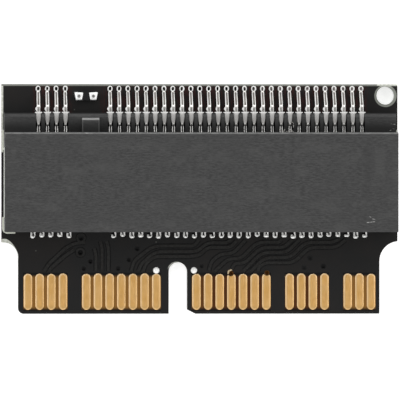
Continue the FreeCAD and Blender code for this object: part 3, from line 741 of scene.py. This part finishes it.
def goldFinish(own):
    finish = Finish("fingerGold", own, {"Metallic": 1.0})
    x, y, z = finish.axes
    fine = finish.noise(7, detail=4, stretch=(1.4, 0.8, 1))
    streaks = finish.noise(5, detail=4, stretch=(3.0, 0.5, 1))
    cloud = finish.noise(1.3, detail=3)
    gold = finish.blend(cloud.ramp(0.3, 0.7), "gold", "goldDeep")

    # a painted highlight runs round each finger's rim: distance from the finger's own core line
    shortLow, shortHigh = boxOf("front_fingers_short_bank")
    longLow = boxOf("front_fingers_long_bank")[0]
    radius = own["radius"]
    inLong = x.above((shortHigh.x + longLow.x) / 2)
    first = inLong * (longLow.x - shortLow.x) + (shortLow.x + radius)
    across = (x - first).wrap(own["pitch"] / 2)
    middle = (shortLow.y + own["lift"] + shortHigh.y) / 2
    straight = (shortHigh.y - shortLow.y - own["lift"]) / 2 - radius
    beyond = ((y - middle).size() - straight) | 0
    fromCore = (across * across + beyond * beyond) ** 0.5
    rimStart = radius - own["rimWidth"]
    rim = fromCore.ramp(rimStart - 0.03, rimStart + 0.015)
    rimHighlightStrength = y.ramp(*own["rimHighlightFade"]) * 0.35 + 0.55 - across * 1.1
    edge = fromCore.ramp(radius - 0.022, radius - 0.004)
    foot = z.below(boardTop - etched) * z.above(etched)
    dull = y.ramp(*own["dullEnd"]) * 0.55
    finish.colour(gold, (fine.ramp(0.45, 0.8) * 0.35, "goldWarm"),
                  (rim * rimHighlightStrength, "goldRimHighlight"), (dull, "goldDull"), (edge * 0.75, "goldEdge"),
                  (foot, "goldFoot"))
    finish.put("Roughness", streaks.ramp(0.25, 0.75) * 0.14 + 0.32)
    finish.bump(streaks, 0.1, 0.01)
    return finish


fingerLow, fingerHigh = boxOf("front_fingers_short_bank")
fingers["radius"] = (fingerHigh.x - fingerLow.x - 11 * fingers["pitch"]) / 2
buildFingers(fingers, goldFinish(fingers))


# plated holes

barrels = {
    "barrelBrown": (96, 62, 26),
    "barrelBrownPale": (140, 96, 46),
    "rim": (20, 16, 12),
    "rimLit": (200, 180, 146),
}


def barrelFinish(own, holes):
    # the barrels are painted dark brown, and a highlight is painted on the first rim's upper left
    finish = Finish("paintedBrownBarrel", own, {"Metallic": 0.6, "Roughness": 0.4})
    x, y, z = finish.axes
    grain = finish.noise(14, detail=3)
    barrelBrown = finish.blend(grain.ramp(0.3, 0.7), "barrelBrown", "barrelBrownPale")
    firstX, firstY, *ring = holes[0]
    lit = (y - x).ramp(firstY - firstX + 0.09, firstY - firstX + 0.17)
    lit = lit * finish.awayFrom(firstX, firstY).below(0.3) * z.above(boardTop - 0.02)
    finish.colour("rim", (z.below(boardTop - 0.02), barrelBrown), (lit, "rimLit"))
    return finish


def buildOpenVias(own, finish):
    # plated barrels that break into the tops of two fingers, part filled
    shape = Shape()
    hole = own["openRadius"]
    for x, y, shiftX, shiftY, outer in own["openVias"]:
        rim = ((outer, -0.01), (outer, 0.004), (outer - 0.02, 0.008))
        barrel = ((hole + 0.012, 0.008), (hole, 0.002), (hole - 0.01, -0.06),
                  (hole * 0.6, -0.1), (hole * 0.35, -0.16), (hole * 0.3, -0.4))
        rings = [circle(x + shiftX, y + shiftY, reach, boardTop + height, 24)
                 for reach, height in rim]
        rings += [circle(x, y, reach, boardTop + height, 24) for reach, height in barrel]
        shape.loft(rings, startCap=False)
    shape.piece("plated_vias", finish)


buildOpenVias(board, barrelFinish(barrels, board["openVias"]))
print("fingers plated")


# stamped contacts

contacts = {
    "pitch": 0.5,
    "thickness": 0.12,
    "bevel": 0.022,
    "halfStrip": 0.0925,
    "plating": (214, 212, 208),
    "platingWorn": (186, 183, 179),
    # painted highlights on the contacts' edges, bends, shoulders and heads
    "platingHighlight": (250, 249, 247),
    # painted shade on the blade's middle and in the lug's middle
    "platingShade": (74, 68, 66),
    # painted shade in the mouth and on the neck
    "mouthShade": (22, 22, 22),
    "footDark": (20, 18, 18),
    "footFilled": (186, 176, 176),
    # where a lower contact's parts lie along the board, from the joint inwards
    "foot": (5.98, 6.02),
    "blade": (5.12, 5.95),
    "bend": (5.14, 5.22),
    "lug": (4.86, 5.09),
    "shoulder": (4.76, 4.85),
    "head": (4.16, 4.76),
    "neck": (4.04, 4.15),
    "mouth": (4.16, 4.08),
    # and an upper contact's
    "rearRow": -0.8,
    "rearFoot": (-1.7, -1.8),
    "rearTip": -2.05,
    "lower": {
        # from the toe: (along, height above the board)
        "route": ((0, 0.06), (-0.36, 0.06), (-1.09, 0.92), (-2.15, 0.92), (-5.14, 1.6),
                  (-5.79, 1.3)),
        "turn": 0.16,
        "banks": (("key_side", 4), ("main", 29)),
        "dice": 5,
        # the head's outline, from the toe: its lug, its shoulders and its tapering tongue
        "lug": (-1.4, -1.17),
        "shoulders": (-1.542, -1.448, 0.205),
        "tongue": (-2.15, -1.54, 0.05, 0.137),
        "breaks": (-1.055, -1.165, -1.185, -1.21, -1.25, -1.29, -1.33, -1.36, -1.385,
                   -1.405, -1.445, -1.45, -1.54, -1.545, -1.65, -1.8, -1.92, -2.02, -2.08,
                   -2.12, -2.15, -2.2),
    },
    "upper": {
        "route": ((0, 0.06), (0.47, 0.06), (0.47, 2.6), (2.43, 2.6), (3.83, 2.08),
                  (4.48, 2.42)),
        "turn": 0.14,
        "banks": (("key_side", 5), ("main", 29)),
        "dice": 6,
        "breaks": (),
    },
}


def banks(kind, start):
    # each bank of a row: its name, its node, and where its contacts stand
    for bank, count in contacts[kind]["banks"]:
        node = f"{start}_{bank}"
        first = middleOf(node).x - (count - 1) / 2 * contacts["pitch"]
        yield bank, node, [first + index * contacts["pitch"] for index in range(count)]


def lowerHalfWidths(row, fromToe, strip, lug):
    # half widths to the left and right of a lower contact, at a place along its flat head
    start, end = row["lug"]
    if start < fromToe < end:
        bulge = math.sin(math.pi * (fromToe - start) / (end - start)) ** 0.7
        return strip + lug * bulge, strip
    start, end, width = row["shoulders"]
    if start < fromToe < end:
        return width, width
    start, end, narrow, wide = row["tongue"]
    if start < fromToe < end:
        share = (fromToe - start) / (end - start)
        width = narrow + (wide - narrow) * (1 - (1 - share) ** 4)
        return width, width
    return strip, strip


def contactStations(row):
    # the points of a contact's route, with more of them where its outline changes
    stations = roundedRoute(row["route"], row["turn"])
    for place in row["breaks"]:
        after = next(index for index, point in enumerate(stations) if point.x < place)
        before = stations[after - 1]
        share = (place - before.x) / (stations[after].x - before.x)
        stations.insert(after, before.lerp(stations[after], share))
    return stations


def buildContacts(own, finish, kind):
    row = own[kind]
    dice = random.Random(row["dice"])
    half, bevel, strip = own["thickness"] / 2, own["bevel"], own["halfStrip"]
    stations = contactStations(row)
    turns = headings(stations)
    for bank, node, places in banks(kind, f"{kind}_contacts"):
        low, high = boxOf(node)
        toe = high.y if kind == "lower" else low.y
        shape = Shape()
        for x in places:
            x += dice.uniform(-0.004, 0.004)
            lean = dice.uniform(-0.003, 0.003)
            lift = dice.uniform(-0.006, 0.0)
            lug = dice.uniform(0.05, 0.09)
            rings = []
            for point, heading in zip(stations, turns):
                side = Vector((-heading.y, heading.x))
                if side.y < 0 or (abs(side.y) < 0.05 and side.x > 0):
                    side = -side
                left, right = strip, strip
                if kind == "lower":
                    left, right = lowerHalfWidths(row, point.x, strip, lug)
                ring = []
                for across, up in ((-left + bevel, half), (right - bevel, half),
                                   (right, half - bevel), (right, bevel - half),
                                   (right - bevel, -half), (bevel - left, -half),
                                   (-left, bevel - half), (-left, half - bevel)):
                    at = point + side * up
                    ring.append((x + across + lean * (point.x / 1.5), toe + at.x,
                                 boardTop + at.y + lift * min(1, at.y)))
                rings.append(ring)
            shape.loft(rings)
        shape.piece(f"{kind}_terminals_{bank}", finish, [node], 28)


def contactFinish(own):
    finish = Finish("stampedPlating", own, {})
    x, y, z = finish.axes
    grain = finish.noise(14, detail=4, stretch=(1, 0.4, 1))
    cloud = finish.noise(2.2, detail=3)
    scuffed = finish.noise(22, detail=3)
    metal = finish.blend(cloud.ramp(0.3, 0.75), "plating", "platingWorn")

    # each contact's own middle line, worked out from the row it stands in
    lowerFirst = middleOf("lower_contacts_main").x
    upperFirst = middleOf("upper_contacts_main").x
    rear = y.below(own["rearRow"])
    start = rear * (upperFirst - lowerFirst) + lowerFirst
    across = (x - start).wrap(own["pitch"] / 2)
    fromMiddle = across.size()
    raised = z.above(boardTop + 0.8)

    # the blade between joint and shoulder: painted highlights on its edges, painted shade in its
    # middle
    blade = y.band(*own["blade"], 0.03)
    bladeShade = blade * (grain * 0.03 + fromMiddle).ramp(0.066, 0.04) * 0.9
    bend = y.band(*own["bend"], 0.03) * across.band(-0.02, 0.06, 0.02)
    # the lug: painted highlights on its edges and painted shade in its middle, broken up by noise
    worked = y.band(*own["lug"], 0.02) * z.above(boardTop + 0.6)
    crease = worked * across.band(-0.055, 0.04, 0.02) * scuffed.ramp(0.62, 0.4) * 0.85
    # the shoulders catch the light, and the head fades from them
    shoulder = y.band(*own["shoulder"], 0.01) * raised
    fade = y.ramp(4.2, own["head"][1]) * 0.5 + 0.22
    head = y.band(*own["head"], 0.02) * raised * fade
    # past the neck, in the mouth, the neck and the middle are painted in shade and only the two
    # edges get painted highlights
    mouth = y.ramp(*own["mouth"]) * y.above(-1.0)
    neck = y.band(*own["neck"], 0.02) * raised
    shaded = (neck | mouth * fromMiddle.ramp(0.052, 0.038)) * 0.95
    mouthEdgeHighlights = mouth * fromMiddle.ramp(0.044, 0.06)
    # front feet are dark inside their bright rings, less so towards the right
    foot = y.ramp(*own["foot"])
    filled = x.ramp(1.5, 5.5) * scuffed.ramp(0.38, 0.58) * 0.75
    # rear feet are painted dark as shade, with a slanting painted highlight along one edge
    rearFoot = y.ramp(*own["rearFoot"])
    edge = (across + (y + 1.98) * 0.2).ramp(0.01, 0.026)

    # painted highlights: blade edges, bend, lug edges, shoulders, head, the two edges in the
    # mouth and one edge of each rear foot
    paintedHighlights = blade * fromMiddle.ramp(0.056, 0.068) | bend
    paintedHighlights = paintedHighlights | worked * across.ramp(-0.05, -0.075) * 0.9
    paintedHighlights = paintedHighlights | worked * across.ramp(0.045, 0.07) * 0.8
    paintedHighlights = (paintedHighlights | shoulder | head | mouthEdgeHighlights) * (1 - neck * 0.9) * (1 - rearFoot)
    paintedHighlights = paintedHighlights | rearFoot * edge * y.above(own["rearTip"])
    footFill = finish.blend(filled, "footDark", "footFilled")
    finish.colour(metal, (bladeShade, "platingShade"), (crease, "platingShade"),
                  (shaded, "mouthShade"), (foot, footFill), (rearFoot, "footDark"),
                  (paintedHighlights, "platingHighlight"))
    finish.put("Metallic", 1 - paintedHighlights * 0.7)
    finish.rough(grain, 0.26, 0.16)
    finish.bump(grain, 0.12, 0.008)
    return finish


stampedPlating = contactFinish(contacts)
buildContacts(contacts, stampedPlating, "lower")
buildContacts(contacts, stampedPlating, "upper")
print("contacts formed")


# solder

solder = {
    "front": {"halfAcross": 0.101, "halfAlong": 0.135, "thick": 0.039, "crest": 0.15,
              "shift": -0.03, "metallic": 0.04, "coat": 0.0},
    "rear": {"halfAcross": 0.095, "thick": 0.05, "crest": 0.16, "front": -1.86,
             "bottom": -2.13, "shift": -0.03, "metallic": 0.3, "coat": 1.0},
    "sectors": 28,
    "light": (252, 252, 250),
    "dull": (228, 227, 224),
}


def arch(thick, crest, flat=0.0):
    # an arched section, from its outer foot over the crest to its inner foot; flat runs
    # from 0, fully round, to 1, a level top
    shoulder = 0.86 + 0.12 * flat
    return ((thick, 0.0), (thick * (0.95 + 0.05 * flat), crest * (0.5 + 0.3 * flat)),
            (thick * (0.6 + 0.22 * flat), crest * shoulder), (0.0, crest),
            (-thick * (0.6 + 0.22 * flat), crest * shoulder),
            (-thick, crest * (0.72 + 0.14 * flat)), (-thick, 0.02))


def buildFrontSolder(own, finish):
    # a raised ring round each lower contact's foot
    dice = random.Random(3)
    row = own["front"]
    for bank, node, places in banks("lower", "front_solder"):
        y = middleOf(node).y + row["shift"]
        shape = Shape()
        for x in places:
            x += dice.uniform(-0.008, 0.008)
            across = row["halfAcross"] * dice.uniform(0.92, 1.06)
            along = row["halfAlong"] * dice.uniform(0.94, 1.04)
            tilt = dice.uniform(0, math.tau)
            rings = []
            for sector in range(own["sectors"] + 1):
                angle = math.tau * sector / own["sectors"]
                cosine, sine = math.cos(angle), math.sin(angle)
                thick = row["thick"] * (1 + 0.14 * math.cos(angle - tilt))
                crest = row["crest"] * (1 + 0.08 * math.cos(2 * angle - tilt))
                outward = Vector((cosine / row["halfAcross"],
                                  sine / row["halfAlong"])).normalized()
                # a little square, and closed in towards the blade
                closing = 1 - 0.25 * max(-sine, 0) ** 2
                squareX = math.copysign(abs(cosine) ** 0.85, cosine)
                squareY = math.copysign(abs(sine) ** 0.85, sine)
                centre = Vector((x + across * squareX * closing, y + along * squareY))
                rings.append([(*(centre + outward * reach), boardTop + height)
                              for reach, height in arch(thick, crest)])
            shape.loft(rings, startCap=False, endCap=False)
        shape.piece(f"front_joints_{bank}", finish, [node], 70)


def buildRearSolder(own, finish):
    # a hook or a horseshoe round each upper contact's foot: no two have the same fill
    dice = random.Random(8)
    row = own["rear"]
    across = row["halfAcross"]
    for bank, node, places in banks("upper", "rear_solder"):
        shape = Shape()
        for x in places:
            x += row["shift"] + dice.uniform(-0.012, 0.012)
            full = dice.choice((0.0, 0.0, 0.25, 0.5, 1.0))
            thin = dice.choice((0.5, 0.62, 0.8))
            leftFront = row["front"] - dice.choice((0.0, 0.0, 0.0, 0.03, 0.13))
            rightFront = row["front"] - dice.choice((0.0, 0.08, 0.14, 0.17))
            lowest = row["bottom"] + 0.01 * (1 - full) + dice.choice((0, 0, 0.04, 0.07))
            lean = dice.uniform(-0.01, 0.02)
            corners = [(x - across, leftFront), (x - across - 0.005, lowest),
                       (x + across, lowest), (x + across + lean, rightFront)]
            line = roundedRoute(corners, 0.1 - 0.045 * full)
            sections = []
            for place in range(len(line)):
                share = place / (len(line) - 1)
                weight = math.sin(math.pi * share) ** 0.6
                thick = row["thick"] * (0.9 + (0.25 + 0.45 * full) * weight ** 2)
                thick *= 1.15 if share < 0.4 else (thin if share > 0.6 else 1)
                crest = row["crest"] * (0.85 + 0.15 * weight)
                sections.append([(-reach, boardTop + height)
                                 for reach, height in arch(thick, crest, 0.85)])
            shape.swept(line, sections)
        shape.piece(f"rear_joints_{bank}", finish, [node], 70)


def solderFinish(own, name, place):
    row = own[place]
    finish = Finish(name, own, {"Metallic": row["metallic"], "Coat Weight": row["coat"]})
    cloud = finish.noise(5, detail=4)
    finish.colour("light", (cloud.ramp(0.35, 0.8), "dull"))
    finish.rough(cloud, 0.22, 0.12)
    finish.bump(finish.noise(12, detail=3), 0.12, 0.01)
    return finish


def buildPlugs(finish):
    # the two filled vias stand as small domes
    low, high = boxOf("via_solder_plugs")
    radius = (high.y - low.y) / 2
    shape = Shape()
    for x in (low.x + radius, high.x - radius):
        angles = [math.pi / 2 * step / 7 for step in range(7)]
        shape.loft([circle(x, low.y + radius, radius * math.cos(angle),
                           low.z + (high.z - low.z) * math.sin(angle), 24)
                    for angle in angles])
    shape.piece("via_domes", finish, ["via_solder_plugs"], 60)


brightSolder = solderFinish(solder, "brightSolder", "front")
buildFrontSolder(solder, brightSolder)
buildRearSolder(solder, solderFinish(solder, "rearSolder", "rear"))
buildPlugs(brightSolder)
print("solder flowed")


# chip resistor

resistor = {
    "ends": ("resistor_caps", "resistor_solder"),
    "topHalf": 0.252,
    "bottomHalf": 0.185,
    "halfAlong": 0.222,
    "profile": ((1.0, 0.0), (1.0, 0.2), (0.98, 0.27), (0.9, 0.31), (0.78, 0.328),
                (0.5, 0.33), (0.25, 0.33), (0.15, 0.325)),
    "light": (252, 252, 251),
    # the painted grey reflection in the middle of each end
    "centreReflectionPale": (150, 148, 146),
    "centreReflectionDark": (84, 82, 80),
    "glaze": (16, 16, 16),
    "glazeWorn": (26, 25, 25),
}


def buildResistorEnds(own, finish):
    # solder wraps each end in a block that narrows towards the socket
    low, high = boxOf(*own["ends"])
    shape = Shape()
    middle = (low.y + high.y) / 2
    narrow = own["bottomHalf"] / own["topHalf"]
    # the right half of the outline, from the bottom up; the left half mirrors it
    half = [(0.3, -1.03), (narrow - 0.05, -1), (narrow, -0.85), ((1 + narrow) / 2, 0),
            (1.0, 0.85), (0.97, 1), (0.5, 1.03)]
    outline = half + [(-across, along) for across, along in reversed(half)]
    for centre in (low.x + own["topHalf"], high.x - own["topHalf"]):
        rings = []
        for share, height in own["profile"]:
            rings.append([(centre + across * share * own["topHalf"],
                           middle + along * share * own["halfAlong"],
                           boardTop + height) for across, along in outline])
        shape.loft(rings)
    shape.piece("resistor_ends", finish, own["ends"], 60)


def resistorEndFinish(own):
    # bright all round, with a mottled grey reflection painted in the middle of each end
    finish = Finish("cappedSolder", own, {"Metallic": 0.35, "Roughness": 0.3})
    x, y = finish.axes[:2]
    low, high = boxOf(*own["ends"])
    middle = (low + high) / 2
    reach = (high.x - low.x) / 2 - own["topHalf"]
    across = ((x - middle.x).size() - reach).size()
    along = (y - middle.y).size()
    speck = finish.noise(16, detail=3)
    # where the grey reflection is painted, round the middle of each end
    dull = (across * across + along * along) ** 0.5
    dull = (dull + speck * 0.05).ramp(0.13, 0.09)
    tone = finish.blend(speck.ramp(0.35, 0.6), "centreReflectionPale", "centreReflectionDark")
    finish.colour("light", (dull, tone))
    finish.bump(speck, 0.1, 0.01)
    return finish


def resistorFinish(own):
    finish = Finish("resistorGlaze", own, {"Specular IOR Level": 0.2})
    speck = finish.noise(20, detail=3)
    finish.colour("glaze", (speck.ramp(0.4, 0.7), "glazeWorn"))
    finish.put("Roughness", speck * 0.2 + 0.4)
    return finish


buildResistorEnds(resistor, resistorEndFinish(resistor))
refinish("resistor_body", resistorFinish(resistor))
print("resistor seated")


# moulded housing

housing = {
    "resin": (55, 55, 55),
    "resinLight": (66, 66, 66),
    "resinDark": (44, 44, 44),
    "cloud": (76, 76, 75),
    # painted shade on the mouth's floor under the roof
    "mouth": (22, 22, 22),
    # painted shade along the front edge of the mouth's floor
    "mouthEdgeShade": (8, 8, 8),
    # painted highlight on the housing's front edges
    "edgeHighlightTone": (134, 134, 133),
    "scuff": (162, 162, 160),
    "roofFront": 3.695,
    "rib": (-6.125, 0.475, 4.505),     # middle, half width, front
    "rubbed": ((9.62, 10.15), (1.2, 2.9)),
    "dulled": ((9.0, 9.35), (0.2, 3.0)),
    # worn marks: from, to, half width
    "scratches": (
        (9.14, -1.31, 9.32, -1.29, 0.03), (9.33, -1.29, 9.6, -1.26, 0.03),
        (9.45, -1.11, 9.62, -1.13, 0.025), (9.28, -0.97, 9.42, -1.04, 0.018),
        (-6.45, 3.66, -6.3, 3.62, 0.03),
        (10.6, 4.17, 10.84, 4.15, 0.022), (10.52, 3.78, 10.62, 3.84, 0.014),
        (10.7, 3.92, 10.8, 3.88, 0.014),
    ),
}


def scratchMask(finish, x0, y0, x1, y1, halfWidth):
    # 1 on a straight mark, fading over its width
    x, y = finish.axes[:2]
    length = math.hypot(x1 - x0, y1 - y0)
    dx, dy = (x1 - x0) / length, (y1 - y0) / length
    along = (x - x0) * dx + (y - y0) * dy
    off = ((x - x0) * dy - (y - y0) * dx).size()
    ends = along.ramp(-0.02, 0.03) * along.ramp(length + 0.02, length - 0.03)
    return off.ramp(halfWidth, halfWidth * 0.3) * ends


def paintedEdgeHighlights(finish, own):
    # thin painted highlights along edges: roof front, floor front, rib front and sides
    x, y, z = finish.axes
    breakup = finish.noise(3, detail=3, stretch=(0.7, 1, 1))
    inMouth = z.below(roofTop - 0.2)
    front = own["roofFront"]
    roof = y.band(front - 0.1, front - 0.015, 0.012) * z.above(roofTop - 0.08)
    floor = y.band(housingHigh.y - 0.13, housingHigh.y - 0.06, 0.012)
    floor = floor * z.above(boardTop + 1.26) * inMouth
    middle, half, front = own["rib"]
    beside = (x - middle).size()
    ribFace = z.above(boardTop + 1.4) * inMouth
    ribFront = y.band(front - 0.13, front - 0.01, 0.015) * beside.below(half + 0.01)
    ribSides = beside.band(half - 0.05, half + 0.02, 0.01) * y.above(3.5)
    return (roof * (breakup.ramp(0.3, 0.7) * 0.3 + 0.35) | floor * breakup.ramp(0.4, 0.7) * 0.25
            | ribFront * ribFace | ribSides * ribFace * 0.2)


def housingFinish(own):
    finish = Finish("mouldedResin", own, {"Specular IOR Level": 0.25})
    x, y, z = finish.axes
    speckle = finish.noise(7, detail=4, roughness=0.7, stretch=(0.5, 1.8, 1))
    cloud = finish.noise(0.45, detail=4, roughness=0.6)
    swirl = finish.noise(1.3, detail=4, stretch=(0.6, 1.2, 1))
    # a rubbed patch near the right end, with a duller strip beside it
    across, along = own["rubbed"]
    rubbed = x.band(*across, 0.12) * y.band(*along, 0.4)
    rubbed = rubbed * (swirl.ramp(0.3, 0.7) * 0.4 + 0.15)
    across, along = own["dulled"]
    dulled = x.band(*across, 0.12) * y.band(*along, 0.5) * 0.3
    # the floor of the mouth is painted darker towards the roof, as the roof's shade
    inMouth = z.below(roofTop - 0.2) * y.above(3.4) * y.ramp(4.6, 3.85) * 0.95
    # a thin line of painted shade along the floor's front edge
    shadedFloorFront = y.above(housingHigh.y - 0.06) * z.above(boardTop + 1.0) * 0.95
    marks = 0
    for mark in own["scratches"]:
        marks = scratchMask(finish, *mark) | marks
    broken = finish.noise(16, detail=2).ramp(0.35, 0.6)
    resin = finish.blend(speckle.ramp(0.32, 0.68), "resinDark", "resinLight")
    finish.colour(resin, (cloud.ramp(0.35, 0.65) * 0.4, "resin"),
                  (swirl.ramp(0.46, 0.72) * 0.3, "cloud"), (rubbed, "cloud"),
                  (dulled, "resinDark"), (inMouth, "mouth"), (shadedFloorFront, "mouthEdgeShade"),
                  (paintedEdgeHighlights(finish, own), "edgeHighlightTone"), (marks * broken, "scuff"))
    finish.rough(speckle, 0.5, 0.15)
    finish.bump(speckle, 0.3, 0.012)
    return finish


refinish("socket_housing", housingFinish(housing))


# hold-down plates and the solder beds under them

holdDown = {
    "plate": (196, 197, 192),
    "plateDull": (158, 160, 152),
    "bed": (236, 238, 226),
    "bedDull": (206, 209, 194),
}


def plateFinish(own):
    finish = Finish("tinnedPlate", own, {"Metallic": 1.0})
    streak = finish.noise(8, detail=4, stretch=(1, 0.25, 1))
    finish.colour("plate", (streak, "plateDull"))
    finish.rough(streak, 0.28, 0.18)
    finish.bump(streak, 0.15, 0.01)
    return finish


def bedFinish(own):
    # the flat solder beds look pale and a little green beside the mask
    finish = Finish("levelledSolder", own, {"Metallic": 0.25})
    grain = finish.noise(10, detail=4)
    finish.colour("bed", (grain, "bedDull"))
    finish.rough(grain, 0.35, 0.2)
    return finish


tinnedPlate = plateFinish(holdDown)
levelledSolder = bedFinish(holdDown)
for side in ("left", "right"):
    refinish(f"hold_down_{side}", tinnedPlate)
    refinish(f"hold_down_solder_{side}", levelledSolder)
print("housing finished")


# a few curls of lint lie in the mouth

lint = {
    "radius": 0.026,
    "height": 1.42,
    "wave": 0.03,
    "sides": 5,
    "pale": (226, 224, 220),
    "dark": (120, 117, 114),
    "curls": (
        ((4.92, 4.06), (4.93, 3.93), (5.03, 3.81), (5.17, 3.72)),
        ((5.04, 3.8), (4.99, 3.74), (4.9, 3.71)),
        ((4.91, 4.19), (5.0, 4.25), (5.09, 4.27), (5.17, 4.17)),
        ((5.15, 4.1), (5.17, 4.05), (5.16, 3.99)),
        ((4.7, 3.87), (4.64, 3.79), (4.61, 3.71)),
        ((4.74, 3.72), (4.79, 3.76), (4.84, 3.72)),
    ),
}


def buildLint(own):
    finish = Finish("lint", own, {"Roughness": 0.8})
    tone = finish.noise(12, detail=3)
    finish.colour("pale", (tone.ramp(0.4, 0.6), "dark"))
    shape = Shape()
    section = circle(0, 0, own["radius"], 0, own["sides"])
    for curl in own["curls"]:
        line = roundedRoute(curl, 0.08, steps=4)
        levels = [boardTop + own["height"] + own["wave"] * math.sin(place)
                  for place in range(len(line))]
        shape.swept(line, [[(across, level + up) for across, up, flat in section]
                           for level in levels])
    shape.piece("mouth_lint", finish, sharpest=80)


buildLint(lint)
print("lint dropped")
